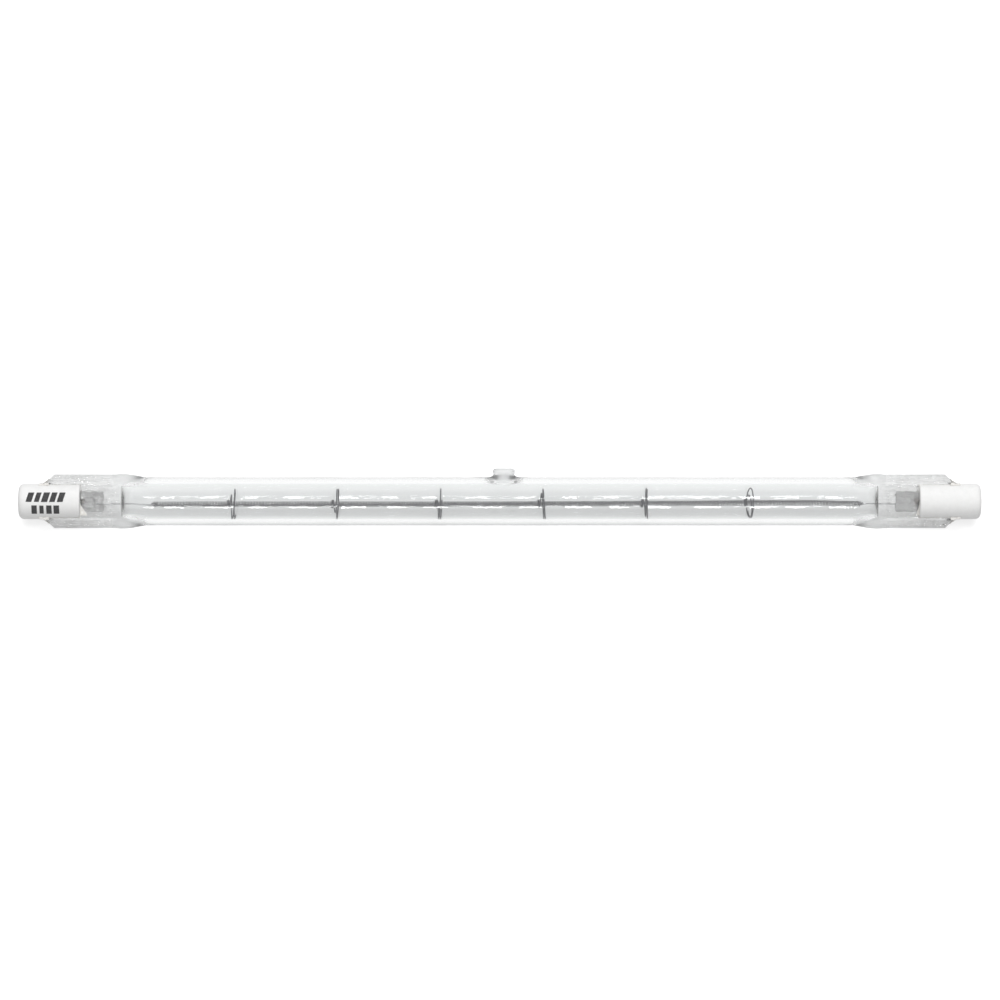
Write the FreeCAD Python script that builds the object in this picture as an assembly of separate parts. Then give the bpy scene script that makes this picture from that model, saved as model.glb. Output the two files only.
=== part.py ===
import FreeCAD, Part
import math
import os

# Linear halogen lamp with a recessed ceramic cap at each end, in millimetres.
# X runs along the lamp, the printed cap is at -X, the exhaust tip points to +Y and the pinch seals
# lie flat in XY. The origin is on the tube's axis, half-way between the caps' ends.
# The lamp lies on the tube's underside, which has a narrow flat.

V = FreeCAD.Vector
LENGTHWAYS = V(1, 0, 0)
SIDES = {"left": -1, "right": 1}

# Whole lamp
lamp_length = 189.1
tube_diameter = 9.5
tube_wall = 1.15
rest_flat_width = 1.2

# Pinch seals: the hot tube end pressed flat by two jaws, with a rail left along each edge. The outer
# corners are cut off, down to a neck whose edges lie a little inside the cap's barrel.
seal_length = 16.2
seal_width = 10.6
rail_thickness = 3.5
web_thickness = 2.2
web_width = 7.3
rail_edge_radius = 0.9
corner_radius = 0.7
neck_length = 0.85
neck_inset = 0.2
jaw_ramp = 1.1
jaw_edge_radius = 0.45

# Shoulder between the round tube and the flat seal. The shares say how much of the bore's height and
# width is left half-way along it, and the angle where the seal's rounded edges start on the round tube.
shoulder_length = 4.6
shoulder_bulge = 0.32
shoulder_steps = 4
section_corner_angle = 22.5
crease_width = 5.8
crease_thickness = 0.24
cavity_height_share = 0.73
cavity_width_share = 0.94

# Exhaust tip, melted shut
tip_place = 0.8
tip_diameter = 4.4
tip_neck_diameter = 4.0
tip_neck_height = 0.63
tip_height = 1.8
tip_root_diameter = 6.0
tip_bore_diameter = 2.8
tip_roof = 0.95
tip_edge_radius = 0.5

# Filament coil, drawn as the sleeve that its fine turns fill
coil_diameter = 1.2
coil_wire_diameter = 0.18
coil_reach = {"left": 6.1, "right": 3.6}

# Inner leads: each lies on its foil, and its end is wound and screwed into the coil
lead_diameter = 0.25
lead_offset = 0.5
lead_weld_length = 1.6
screw_turns = 4
screw_pitch = 0.33
screw_clearance = 0.045

# Sealing foils
foil_length = 8.4
foil_width = 4.0
foil_thickness = 0.08
foil_depth = 3.6

# Support rings: close turns grip the coil, then the wire opens out into a loop beside the wall
ring_count = 6
ring_wire_diameter = 0.24
ring_wall_clearance = 0.3
ring_grip_clearance = 0.03
ring_grip_turns = 1.75
ring_grip_pitch = 0.27
ring_step_turns = 0.5
ring_step_pitch = 1.0
ring_loop_turns = 1.3
ring_loop_pitch = 0.45
ring_open_pitch = 1.25
ring_first_gap = 15.9
ring_last_gap = 21.4

# Outer leads, with a flattened end welded to the foil
outer_lead_diameter = 0.6
weld_pad_size = 0.9
weld_pad_thickness = 0.26
weld_overlap = 4.65

# Ceramic caps
cap_diameter = 7.0
cap_length = 12.1
cap_head_length = 4.0
cap_edge_radius = 1.0
cap_flattening = 0.05
cap_mouth_bevel = 0.3
cap_ear_lip = 0.15
cap_ear_length = 2.0
cap_ear_hollow = 0.2
recess_diameter = 4.2
recess_depth = 1.7
lead_hole_clearance = 0.16

# Cement between cap and seal
cement_gap = 0.15
cement_lump_reach = {"left": 1.4, "right": 0.6}
cement_lump_height = 0.8
cement_lump_width = 2.4
cement_lump_offset = 1.6

# Contacts, each in a stepped pocket at the bottom of its recess
contact_diameter = 3.6
contact_thickness = 0.6
contact_clearance = 0.05
contact_dome = 0.12
contact_land_diameter = 2.0

# How finely thin wires and rounded edges are drawn, and how far a cut runs past the face that it opens
wire_sides = 5
tight_turn_steps = 9
wide_turn_steps = 12
lead_bend_steps = 3
round_edge_steps = 3
overrun = 1.0

# Places that follow from the sizes, measured from the middle of the lamp
tube_radius = tube_diameter / 2
bore_radius = tube_radius - tube_wall
rest_height = math.sqrt(tube_radius**2 - (rest_flat_width / 2) ** 2)
cap_radius = cap_diameter / 2
cap_end = lamp_length / 2
cap_inner_end = cap_end - cap_length
slot_bottom = cap_end - cap_head_length
seal_end = slot_bottom - cement_gap
seal_start = seal_end - seal_length
neck_half_width = cap_radius - neck_inset
corner_cut = seal_width / 2 - neck_half_width
corner_cut_end = seal_end - neck_length
corner_cut_start = corner_cut_end - corner_cut
shoulder_start = seal_start - shoulder_length
flat_start = seal_start + jaw_ramp
foil_start = seal_start + foil_depth
foil_end = foil_start + foil_length
inner_weld_end = foil_start + lead_weld_length
weld_pad_start = foil_end - weld_overlap
weld_pad_end = weld_pad_start + weld_pad_size
contact_face = cap_end - recess_depth
contact_seat = contact_face - contact_thickness
lead_radius = lead_diameter / 2
lead_height = foil_thickness / 2 + lead_radius
coil_radius = coil_diameter / 2
coil_bore_radius = coil_radius - coil_wire_diameter
screw_radius = coil_bore_radius - screw_clearance - lead_radius
coil_axis_y = screw_radius - lead_offset
coil_end = {side: seal_start - coil_reach[side] for side in SIDES}
ring_wire_radius = ring_wire_diameter / 2
ring_grip_radius = coil_radius + ring_grip_clearance + ring_wire_radius
ring_loop_radius = bore_radius - abs(coil_axis_y) - ring_wall_clearance - ring_wire_radius
outer_lead_radius = outer_lead_diameter / 2
outer_lead_height = foil_thickness / 2 + outer_lead_radius
lead_hole_radius = outer_lead_height + outer_lead_radius + lead_hole_clearance


def rod(start, end, radius, y=0.0, z=0.0):
    """A round bar along X."""
    return Part.makeCylinder(radius, end - start, V(start, y, z), LENGTHWAYS)


def block(x_range, y_range, z_range):
    """A box between two corners."""
    size = [high - low for low, high in (x_range, y_range, z_range)]
    return Part.makeBox(*size, V(x_range[0], y_range[0], z_range[0]))


def placed(shape, side):
    """A piece that is modelled at the right end, mirrored for the left one."""
    if side == "left":
        return shape.mirror(V(0, 0, 0), LENGTHWAYS)
    return shape


def eased(share):
    """Goes from 0 to 1 with a gentle start and end."""
    return share * share * (3 - 2 * share)


def pressed_point(x, turn, bar_y, bar_z, share):
    """A point of the tube's circle at share 0 and of the seal's bar at share 1."""
    y = tube_radius * math.cos(turn) * (1 - share) + bar_y * share
    z = tube_radius * math.sin(turn) * (1 - share) + bar_z * share
    return V(x, y, z)


def pressed_section(x, half_width, share):
    """The tube's circle at share 0 and the seal's rounded bar at share 1: four corners and four sides. The
    bottom side is straight all the way, as the lamp rests on it."""
    half_height = rail_thickness / 2
    bevel = (1 - math.sqrt(0.5)) * rail_edge_radius
    bar = [
        (half_width, half_height - rail_edge_radius),
        (half_width - bevel, half_height - bevel),
        (half_width - rail_edge_radius, half_height),
    ]
    first_turn = math.radians(section_corner_angle)
    flat_turn = math.acos(rest_height / tube_radius)
    corners = []
    for way_y, way_z in ((1, 1), (-1, 1), (-1, -1), (1, -1)):
        last_turn = math.pi / 2 - (first_turn if way_z > 0 else flat_turn)
        turns = [first_turn, (first_turn + last_turn) / 2, last_turn]
        trio = []
        for turn, (bar_y, bar_z) in zip(turns, bar):
            whole_turn = math.atan2(way_z * math.sin(turn), way_y * math.cos(turn))
            trio.append(pressed_point(x, whole_turn, way_y * bar_y, way_z * bar_z, share))
        corners.append(trio if way_y * way_z > 0 else trio[::-1])
    side_middles = [
        pressed_point(x, math.pi / 2, 0, half_height, share),
        pressed_point(x, math.pi, -half_width, 0, share),
        None,
        pressed_point(x, 0, half_width, 0, share),
    ]
    edges = []
    for number, (before, middle, after) in enumerate(corners):
        edges.append(Part.Arc(before, middle, after).toShape())
        following = corners[(number + 1) % 4][0]
        side_middle = side_middles[number]
        if share == 1 or side_middle is None:
            edges.append(Part.LineSegment(after, following).toShape())
        else:
            edges.append(Part.Arc(after, side_middle, following).toShape())
    return Part.Wire(edges)


def shoulder_skin():
    """Outside of the shoulder: the circle swells a little and flattens into the seal's section."""
    length = flat_start - shoulder_start
    sections = []
    for step in range(shoulder_steps + 1):
        share = step / shoulder_steps
        half_width = seal_width / 2 + shoulder_bulge * math.sin(math.pi * share)
        sections.append(pressed_section(shoulder_start + length * share, half_width, eased(share)))
    return Part.makeLoft(sections, True, False)


def curved_side(start, middle, end):
    """A face between an arc through three points and the arc's mirror image across the X axis."""
    mirrored = [V(point.x, -point.y) for point in (start, middle, end)]
    edges = [
        Part.Arc(start, middle, end).toShape(),
        Part.LineSegment(end, mirrored[2]).toShape(),
        Part.Arc(mirrored[2], mirrored[1], mirrored[0]).toShape(),
        Part.LineSegment(mirrored[0], start).toShape(),
    ]
    return Part.Face(Part.Wire(edges))


def cavity_end():
    """The hollow inside the shoulder, pinched to a crease across the axis."""
    middle = (shoulder_start + seal_start) / 2
    start = V(shoulder_start, bore_radius)
    high_middle = V(middle, cavity_height_share * bore_radius)
    pinched = curved_side(start, high_middle, V(seal_start, crease_thickness / 2))
    pinched.rotate(V(0, 0, 0), LENGTHWAYS, 90)
    pinched.translate(V(0, -bore_radius, 0))
    wide_middle = V(middle, cavity_width_share * bore_radius)
    narrowed = curved_side(start, wide_middle, V(seal_start, crease_width / 2))
    narrowed.translate(V(0, 0, -bore_radius))
    hollow = rod(shoulder_start, seal_start, bore_radius)
    hollow = hollow.common(pinched.extrude(V(0, 2 * bore_radius, 0)))
    return hollow.common(narrowed.extrude(V(0, 0, 2 * bore_radius)))


def seal_plate(growth=0.0):
    """The seal's outline seen from above, with its outer corners cut and rounded, as thick as its rails."""
    edge = seal_width / 2 + growth
    end = seal_end + growth
    neck = neck_half_width + growth
    upper = [V(end, neck), V(corner_cut_end, neck), V(corner_cut_start, edge), V(flat_start, edge)]
    lower = [V(point.x, -point.y) for point in reversed(upper)]
    outline = Part.Face(Part.makePolygon(upper + lower + upper[:1]))
    half = rail_thickness / 2 + growth
    plate = outline.extrude(V(0, 0, 2 * half))
    plate.translate(V(0, 0, -half))
    rounded = []
    for line in plate.Edges:
        upright = abs(line.tangentAt(line.FirstParameter).z) > 0.99
        if upright and abs(line.CenterOfMass.x - corner_cut_start) < 1e-6:
            rounded.append(line)
    return plate.makeFillet(corner_radius, rounded)


def seal_blank():
    """The pressed end before the jaws' grooves: rounded bar, trimmed to the outline."""
    section = pressed_section(flat_start, seal_width / 2, 1)
    bar = Part.Face(section).extrude(V(seal_end - flat_start, 0, 0))
    return bar.common(seal_plate())


def jaws():
    """What the two jaws press out above and below the web, with a ramp up to the shoulder."""
    floor = web_thickness / 2
    slope = jaw_ramp / (rail_thickness / 2 - floor)
    ramp_foot = V(flat_start + jaw_ramp, 0, floor)
    ramp_top = ramp_foot + V(-slope * overrun, 0, overrun)
    end_foot = V(seal_end + overrun, 0, floor)
    end_top = end_foot + V(0, 0, overrun)
    side_face = Part.Face(Part.makePolygon([ramp_foot, end_foot, end_top, ramp_top, ramp_foot]))
    side_face.translate(V(0, -web_width / 2, 0))
    upper = side_face.extrude(V(0, web_width, 0))
    rounded = []
    for line in upper.Edges:
        along_web = abs(abs(line.CenterOfMass.y) - web_width / 2) < 1e-6
        if along_web and abs(line.CenterOfMass.z - floor) < 1e-6:
            rounded.append(line)
    upper = upper.makeFillet(jaw_edge_radius, rounded)
    return [upper, upper.mirror(V(0, 0, 0), V(0, 0, 1))]


def rounded_corner(x, y, radius):
    """Points of a rounded corner of a turned piece whose end face is at x and whose side is at y."""
    points = []
    for step in range(round_edge_steps + 1):
        turn = math.pi / 2 * step / round_edge_steps
        points.append(V(x - radius * (1 - math.sin(turn)), y - radius * (1 - math.cos(turn))))
    return points


def turned(points, start, end):
    """A solid turned about the X axis from its outline between two places on the axis."""
    outline = [V(start, 0)] + points + [V(end, 0), V(start, 0)]
    return Part.Face(Part.makePolygon(outline)).revolve(V(0, 0, 0), LENGTHWAYS, 360)


def exhaust_tip():
    """Sealed stub of the exhaust tube: a root that swells from the tube, a neck and a rounded button."""
    top = tube_radius + tip_height
    root = tip_root_diameter / 2
    neck = tip_neck_diameter / 2
    foot = math.sqrt(tube_radius**2 - root**2)
    rise = tube_radius + tip_neck_height - foot
    points = [V(0, root), V(foot, root)]
    for step in range(1, round_edge_steps + 1):
        turn = math.pi / 2 * step / round_edge_steps
        points.append(V(foot + rise * (1 - math.cos(turn)), root - (root - neck) * math.sin(turn)))
    points += rounded_corner(top, tip_diameter / 2, tip_edge_radius)
    stub = turned(points, 0, top)
    stub.rotate(V(0, 0, 0), V(0, 0, 1), 90)
    stub.translate(V(tip_place, 0, 0))
    return stub


def tip_bore():
    """What is left of the exhaust bore under the tip's roof."""
    height = tube_radius + tip_height - tip_roof
    return Part.makeCylinder(tip_bore_diameter / 2, height, V(tip_place, 0, 0), V(0, 1, 0))


def wire_channel(start, end, radius, y, z):
    """A wire's way through the quartz: the wire's round and the small gap that it leaves beside the foil."""
    gap = block((start, end), (y - radius, y + radius), sorted((0, z)))
    return rod(start, end, radius, y, z).fuse(gap)


def seal_channels(side):
    """Where the quartz has closed on the foil and both leads. The right-hand turns of the coil lead the left
    inner lead on to its foil and the right one under it."""
    inner_height = -SIDES[side] * lead_height
    inner = wire_channel(seal_start - overrun, inner_weld_end, lead_radius, -lead_offset, inner_height)
    outer = wire_channel(weld_pad_end, seal_end + overrun, outer_lead_radius, 0, outer_lead_height)
    return placed(foil_blank().fuse([inner, outer, weld_pad(0)]), side)


def quartz_envelope():
    """Tube, both seals and the tip, fused as one piece and hollow."""
    tube_ends = (-shoulder_start, shoulder_start)
    below = block(tube_ends, (-tube_radius, tube_radius), (-tube_diameter, -rest_height))
    shell = rod(*tube_ends, tube_radius).cut(below)
    hollow = rod(*tube_ends, bore_radius)
    ends = shoulder_skin().fuse(seal_blank()).cut(jaws())
    shell = shell.fuse([placed(ends, side) for side in SIDES] + [exhaust_tip()])
    hollow = hollow.fuse([placed(cavity_end(), side) for side in SIDES] + [tip_bore()])
    return shell.cut(hollow).cut([seal_channels(side) for side in SIDES])


def filament_coil():
    """The coil's outside and inside, without its fine turns."""
    start = -coil_end["left"]
    end = coil_end["right"]
    outside = rod(start, end, coil_radius, coil_axis_y)
    return outside.cut(rod(start, end, coil_bore_radius, coil_axis_y))


def drawn_wire(points, radius):
    """A thin wire through the points: at each one a polygon square to the path, turned with the coil."""
    sections = []
    for number, point in enumerate(points):
        ahead = points[min(number + 1, len(points) - 1)] - points[max(number - 1, 0)]
        outward = V(0, point.y - coil_axis_y, point.z)
        sideways = ahead.cross(outward).normalize()
        outward = sideways.cross(ahead).normalize()
        corners = []
        for corner in range(wire_sides):
            turn = 2 * math.pi * corner / wire_sides
            corners.append(point + (outward * math.cos(turn) + sideways * math.sin(turn)) * radius)
        sections.append(Part.makePolygon(corners + corners[:1]))
    return Part.makeLoft(sections, True, True)


def coil_point(x, radius, turns):
    """A place on a right-hand coil round the filament's axis, counted in turns from its -Y side."""
    angle = 2 * math.pi * turns
    return V(x, coil_axis_y - radius * math.cos(angle), -radius * math.sin(angle))


def inner_lead(side):
    """Straight from the foil to the coil, then a tight bend into the screw that holds the coil's end."""
    slope = math.atan(screw_pitch / (2 * math.pi * screw_radius))
    bend = math.pi / 2 - slope
    bend_radius = lead_height / (1 - math.cos(bend))
    screw_start = -coil_end[side]
    bend_start = screw_start - bend_radius * math.sin(bend)
    points = [V(-inner_weld_end, -lead_offset, lead_height)]
    for step in range(lead_bend_steps):
        angle = bend * step / lead_bend_steps
        drop = bend_radius * (1 - math.cos(angle))
        points.append(V(bend_start + bend_radius * math.sin(angle), -lead_offset, lead_height - drop))
    for step in range(screw_turns * tight_turn_steps + 1):
        turns = step / tight_turn_steps
        points.append(coil_point(screw_start + turns * screw_pitch, screw_radius, turns))
    lead = drawn_wire(points, lead_radius)
    if side == "right":
        lead.rotate(V(0, 0, 0), V(0, 1, 0), 180)
    return lead


def foil_blank():
    """The foil as a plain strip at the right end."""
    half = foil_thickness / 2
    return block((foil_start, foil_end), (-foil_width / 2, foil_width / 2), (-half, half))


def ring_place(number):
    """Where a ring's loop crosses the coil: between the two end gaps the rings are evenly spaced."""
    start = -coil_end["left"] + ring_first_gap
    end = coil_end["right"] - ring_last_gap
    return start + (end - start) * (number - 1) / (ring_count - 1)


def support_ring(number):
    """One wire: close turns round the coil, a step outwards and a loop. The last loop is sprung wider."""
    loop_pitch = ring_open_pitch if number == ring_count else ring_loop_pitch
    stages = [
        (ring_grip_turns, ring_grip_pitch, ring_grip_radius, ring_grip_radius, tight_turn_steps),
        (ring_step_turns, ring_step_pitch, ring_grip_radius, ring_loop_radius, wide_turn_steps),
        (ring_loop_turns, loop_pitch, ring_loop_radius, ring_loop_radius, wide_turn_steps),
    ]
    before_loop = ring_grip_turns * ring_grip_pitch + ring_step_turns * ring_step_pitch
    x = ring_place(number) - before_loop - ring_loop_turns * loop_pitch / 2
    done = 0.0
    points = [coil_point(x, ring_grip_radius, 0)]
    for turns, pitch, first_radius, last_radius, steps_per_turn in stages:
        count = round(turns * steps_per_turn)
        for step in range(1, count + 1):
            share = step / count
            radius = first_radius + (last_radius - first_radius) * eased(share)
            points.append(coil_point(x + share * turns * pitch, radius, done + share * turns))
        x += turns * pitch
        done += turns
    return drawn_wire(points, ring_wire_radius)


def weld_pad(floor):
    """The outer lead's flattened end, from a floor height up."""
    half = weld_pad_size / 2
    top = foil_thickness / 2 + weld_pad_thickness
    return block((weld_pad_start, weld_pad_end), (-half, half), (floor, top))


def outer_lead():
    """From the weld on the foil to the back of the contact."""
    wire = rod(weld_pad_end, contact_seat, outer_lead_radius, 0, outer_lead_height)
    return wire.fuse(weld_pad(foil_thickness / 2))


def cap_barrel():
    """The cap's barrel, flattened very slightly along its slot, with its round end."""
    wide = V(cap_inner_end, cap_radius)
    high = V(cap_inner_end, 0, cap_radius - cap_flattening)
    outline = Part.Wire(Part.Ellipse(wide, high, V(cap_inner_end)).toShape())
    flattened = Part.Face(outline).extrude(LENGTHWAYS * (slot_bottom - cap_inner_end))
    points = [V(slot_bottom, cap_radius)] + rounded_corner(cap_end, cap_radius, cap_edge_radius)
    return flattened.fuse(turned(points, slot_bottom, cap_end))


def cap_slot():
    """The cap's slot: it takes the web between the cheeks, and the rails run past outside."""
    half = web_thickness / 2 + cement_gap
    room = seal_plate(cement_gap)
    between_cheeks = room.common(block((flat_start, cap_end), (-seal_width, seal_width), (-half, half)))
    return between_cheeks.fuse(room.cut(cap_barrel()))


def cap_ears():
    """An ear on each side of the cap that closes on the seal's cut corners, with a hollowed outer side."""
    root = cap_radius / 2
    ear_start = slot_bottom - cap_ear_length
    seal_edge = seal_width / 2 - (ear_start - corner_cut_start)
    tip = V(ear_start, seal_edge + cap_ear_lip)
    foot = V(slot_bottom, cap_radius)
    side = foot - tip
    inwards = V(side.y, -side.x).normalize()
    outline = [
        Part.LineSegment(V(foot.x, root), V(tip.x, root)).toShape(),
        Part.LineSegment(V(tip.x, root), tip).toShape(),
        Part.Arc(tip, (tip + foot) / 2 + inwards * cap_ear_hollow, foot).toShape(),
        Part.LineSegment(foot, V(foot.x, root)).toShape(),
    ]
    ear = Part.Face(Part.Wire(outline)).extrude(V(0, 0, rail_thickness))
    ear.translate(V(0, 0, -rail_thickness / 2))
    return [ear, ear.mirror(V(0, 0, 0), V(0, 1, 0))]


def cap_body():
    """The cap's barrel with its ears."""
    return cap_barrel().fuse(cap_ears())


def ceramic_cap():
    """The cap with its slot, the stepped recess of the contact and the hole for the outer lead."""
    recess_radius = recess_diameter / 2
    pocket_radius = contact_diameter / 2 + contact_clearance
    points = [
        V(contact_seat, pocket_radius),
        V(contact_face, pocket_radius),
        V(contact_face, recess_radius),
        V(cap_end - cap_mouth_bevel, recess_radius),
        V(cap_end, recess_radius + cap_mouth_bevel),
    ]
    recess = turned(points, contact_seat, cap_end)
    hole = rod(slot_bottom, contact_seat, lead_hole_radius)
    return cap_body().cut([cap_slot(), recess, hole]).removeSplitter()


def cement_lump(side):
    """A wedge of cement that was squeezed out of the slot on to the web."""
    foot = V(cap_inner_end, -cement_lump_offset - cement_lump_width / 2, web_thickness / 2)
    reach = V(-cement_lump_reach[side], 0, 0)
    top = V(0, 0, cement_lump_height)
    side_face = Part.Face(Part.makePolygon([foot, foot + reach, foot + top, foot]))
    return side_face.extrude(V(0, cement_lump_width, 0))


def cement(side):
    """What fills the slot round the seal, with the squeezed-out lump."""
    filling = cap_body().common(cap_slot())
    filling = filling.cut([seal_blank().cut(jaws()), outer_lead()])
    return filling.fuse(cement_lump(side)).removeSplitter()


def contact_button():
    """Round contact with a flat land in the middle of a slightly domed face."""
    radius = contact_diameter / 2
    rim = V(contact_face - contact_dome, radius)
    points = [V(contact_seat, radius), rim, V(contact_face, contact_land_diameter / 2)]
    return turned(points, contact_seat, contact_face)


def all_pieces():
    """Every node's name and solid."""
    pieces = {"quartz_envelope": quartz_envelope(), "filament_coil": filament_coil()}
    for number in range(1, ring_count + 1):
        pieces[f"support_ring_{number}"] = support_ring(number)
    for side in SIDES:
        pieces[f"inner_lead_{side}"] = inner_lead(side)
        pieces[f"sealing_foil_{side}"] = placed(foil_blank(), side)
        pieces[f"outer_lead_{side}"] = placed(outer_lead(), side)
        pieces[f"ceramic_cap_{side}"] = placed(ceramic_cap(), side)
        pieces[f"cement_{side}"] = placed(cement(side), side)
        pieces[f"contact_button_{side}"] = placed(contact_button(), side)
    return pieces


os.makedirs("parts", exist_ok=True)
for name, shape in all_pieces().items():
    print(f"{name}: {len(shape.Solids)} solid, valid {shape.isValid()}, {shape.Volume:.3f} mm3")
    shape.exportStep(f"parts/{name}.step")
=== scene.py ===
# %% [markdown]
# # A linear halogen lamp
# The lamp is a clear quartz tube with a fine tungsten coil along its axis. Each end of the tube is pinched flat
# and sits in a slotted ceramic cap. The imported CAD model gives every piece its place, so this script only has
# to dress it: it loads the model first and then makes one finished piece after another round it.

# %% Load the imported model
import math

import bmesh
import bpy
import numpy as np
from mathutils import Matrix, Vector, noise


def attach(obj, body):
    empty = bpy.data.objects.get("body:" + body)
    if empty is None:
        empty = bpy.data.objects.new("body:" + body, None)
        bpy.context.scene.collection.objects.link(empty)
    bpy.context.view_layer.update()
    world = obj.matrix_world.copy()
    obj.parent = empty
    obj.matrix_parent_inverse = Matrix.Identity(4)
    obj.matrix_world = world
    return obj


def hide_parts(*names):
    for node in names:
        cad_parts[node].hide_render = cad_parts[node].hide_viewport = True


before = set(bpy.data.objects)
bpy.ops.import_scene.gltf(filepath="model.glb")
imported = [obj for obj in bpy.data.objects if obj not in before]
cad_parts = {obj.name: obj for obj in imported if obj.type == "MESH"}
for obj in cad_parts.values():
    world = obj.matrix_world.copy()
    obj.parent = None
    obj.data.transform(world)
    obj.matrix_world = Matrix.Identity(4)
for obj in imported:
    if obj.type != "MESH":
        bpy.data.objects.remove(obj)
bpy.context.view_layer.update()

MM = 0.001
SIDES = {"left": -1, "right": 1}

# %% [markdown]
# ## The picture first
# The photograph looks straight down on the lamp from far away, so the camera has a long lens: that keeps both
# ends of a long thin object equally large. The camera is set up first. Everything else is judged through this
# camera, so it comes first.

# %% Camera
VIEW_WIDTH, VIEW_X, VIEW_Y = 196.7 * MM, 0.05 * MM, 0.26 * MM
LENS, SENSOR = 180.0, 36.0
camera_height = VIEW_WIDTH * LENS / SENSOR
camera_data = bpy.data.cameras.new("camera")
camera_data.lens = LENS
camera_data.sensor_width = SENSOR
camera_data.clip_start, camera_data.clip_end = 0.05, 20.0
camera = bpy.data.objects.new("camera", camera_data)
camera.location = (VIEW_X, VIEW_Y, camera_height)
bpy.context.scene.collection.objects.link(camera)
bpy.context.scene.camera = camera
bpy.context.scene.view_settings.view_transform = "Standard"
print("camera height:", round(camera_height, 3), "m")

# %% [markdown]
# ## Small helpers
# A finished piece has its place in its mesh and its object at the origin. These helpers turn points in
# millimetres into such a mesh, and hide the CAD node that each piece stands for.


# %% Mesh helpers
SAME_PLACE, NO_LENGTH = 1e-6, 1e-7


def mesh_object(name, points, faces):
    """An object whose smooth mesh has these points, in millimetres."""
    mesh = bpy.data.meshes.new(name)
    mesh.from_pydata([tuple(float(v) * MM for v in point) for point in points], [], faces)
    mesh.validate()
    mesh.shade_smooth()
    return link_object(name, mesh)


def link_object(name, data):
    """Puts a mesh, curve, lamp or camera into the scene as an object at the origin."""
    made = bpy.data.objects.new(name, data)
    bpy.context.scene.collection.objects.link(made)
    return made


def baked(carrier, name):
    """A plain mesh object from an object with modifiers or a curve, which is then removed."""
    graph = bpy.context.evaluated_depsgraph_get()
    mesh = bpy.data.meshes.new_from_object(carrier.evaluated_get(graph))
    bpy.data.objects.remove(carrier)
    mesh.name = name
    return link_object(name, mesh)


def finish_piece(piece, slot, material=None, nodes=()):
    """Rides the piece on the lamp's one body, gives it its finish and hides the CAD nodes it stands for; slot is
    not used.
    """
    if material is not None:
        piece.data.materials.clear()
        piece.data.materials.append(material)
    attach(piece, "root")
    if nodes:
        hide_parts(*nodes)
    triangles = sum(len(face.vertices) - 2 for face in piece.data.polygons)
    print(f"{piece.name}: {triangles} triangles")
    return piece


def merged_copy(node, name, crisp=30):
    """A copy of a CAD node with its loose triangles joined, smooth but for edges sharper than an angle."""
    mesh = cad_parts[node].data.copy()
    body = bmesh.new()
    body.from_mesh(mesh)
    bmesh.ops.remove_doubles(body, verts=body.verts, dist=SAME_PLACE)
    bmesh.ops.dissolve_degenerate(body, edges=body.edges, dist=NO_LENGTH)
    body.to_mesh(mesh)
    body.free()
    mesh.shade_smooth()
    mesh.set_sharp_from_angle(angle=math.radians(crisp))
    return link_object(name, mesh)


# %% [markdown]
# A material is a small graph of nodes. These helpers make a node with its inputs in one line, work out sums and
# vectors, and make the few patterns that come back: a share of a range, a mix of two tones, drawn-out noise.


# %% Node helpers
FLOAT, COLOUR, VECTOR = "NodeSocketFloat", "NodeSocketColor", "NodeSocketVector"
WHITE = (1.0, 1.0, 1.0, 1.0)


def link(tree, source, target):
    """Joins two sockets."""
    tree.links.new(source, target)


def new_node(tree, kind, inputs=None, **settings):
    """A node with its settings and its inputs, each of which is a value or a socket to join."""
    node = tree.nodes.new(kind)
    for key, value in settings.items():
        setattr(node, key, value)
    for key, value in (inputs or {}).items():
        if isinstance(value, bpy.types.NodeSocket):
            link(tree, value, node.inputs[key])
        else:
            node.inputs[key].default_value = value
    return node


def maths(tree, operation, *terms):
    """The result of a math node; terms are sockets or numbers."""
    return new_node(tree, "ShaderNodeMath", dict(enumerate(terms)), operation=operation).outputs[0]


def times(tree, first, second):
    """The product of two values."""
    return maths(tree, "MULTIPLY", first, second)


def plus(tree, first, second):
    """The sum of two values."""
    return maths(tree, "ADD", first, second)


def vector_maths(tree, operation, first, second):
    """A vector math node's outputs."""
    return new_node(tree, "ShaderNodeVectorMath", {0: first, 1: second}, operation=operation).outputs


def xyz(tree, x=0.0, y=0.0, z=0.0):
    """A vector from three values."""
    return new_node(tree, "ShaderNodeCombineXYZ", {"X": x, "Y": y, "Z": z}).outputs[0]


def parts_of(tree, vector):
    """A vector's three values, by the names X, Y and Z."""
    return new_node(tree, "ShaderNodeSeparateXYZ", {"Vector": vector}).outputs


def mapped(tree, value, low, high, start=0.0, end=1.0, shape="LINEAR"):
    """Where a value stands between low and high, as a place between start and end."""
    return new_node(tree, "ShaderNodeMapRange", {
        "Value": value, "From Min": low, "From Max": high, "To Min": start, "To Max": end},
        interpolation_type=shape).outputs["Result"]


def mixed(tree, share, first, second):
    """A colour between two colours."""
    return new_node(tree, "ShaderNodeMix", {"Factor": share, "A": first, "B": second},
                    data_type="RGBA").outputs["Result"]


def streaks(tree, vector, length, width, depth, distortion=0.0):
    """Noise whose spots are stretched to this length along X, width along Y and depth along Z."""
    stretched = vector_maths(tree, "DIVIDE", vector, xyz(tree, length, width, depth))[0]
    return new_node(tree, "ShaderNodeTexNoise", {
        "Vector": stretched, "Scale": 1.0, "Detail": 3.0, "Distortion": distortion}).outputs["Fac"]


# %% [markdown]
# Each finish is a node group that puts out a tone, a roughness and a height. `dressed` places the group in a
# material, feeds it with object coordinates in millimetres, so that every scale below can be read as a size on
# the real lamp, and joins what it puts out to the Principled shader.


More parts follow.
